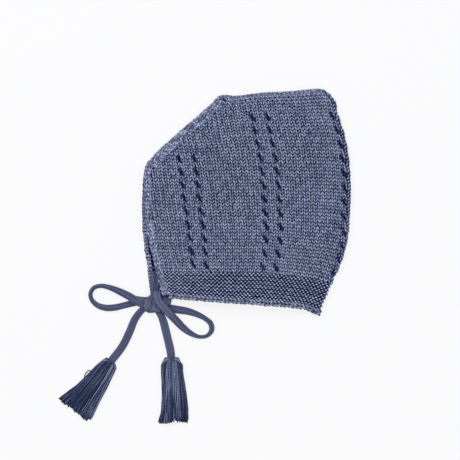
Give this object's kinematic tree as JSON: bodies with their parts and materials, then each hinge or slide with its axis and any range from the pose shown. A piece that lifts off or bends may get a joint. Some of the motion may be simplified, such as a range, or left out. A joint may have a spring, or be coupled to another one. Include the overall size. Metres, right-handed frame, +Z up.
{
  "type": "baby bonnet",
  "caption": "Knitted baby bonnet lying folded flat, open at face and neck, with garter face band, eyelet lines and cord ties tied in a bow with tassels.",
  "frame": {"origin": "under the middle of the lying bonnet, on the surface that it rests on", "axes": "+Z up off the surface, +Y from the face edge to the back seam, +X from the neck edge to the fold over the top of the head"},
  "size_m": [0.2194, 0.2519, 0.017],
  "materials": {
    "stockinette": "matte knitted wool, plain stitch",
    "garter": "matte knitted wool, garter stitch",
    "binding": "matte knitted wool, smooth folded binding",
    "tie_cord": "matte fine knitted cord",
    "tassel_yarn": "loose wool yarn"
  },
  "bodies": {
    "root": {"crown": "stockinette", "face_band": "garter", "neck_binding": "binding", "far_tie_lead": "tie_cord", "near_tie_lead": "tie_cord", "left_bow_loop": "tie_cord", "right_bow_loop": "tie_cord", "left_tie_tail": "tie_cord", "right_tie_tail": "tie_cord", "bow_knot": "tie_cord", "left_tassel": "tassel_yarn", "right_tassel": "tassel_yarn"}
  },
  "joints": []
}
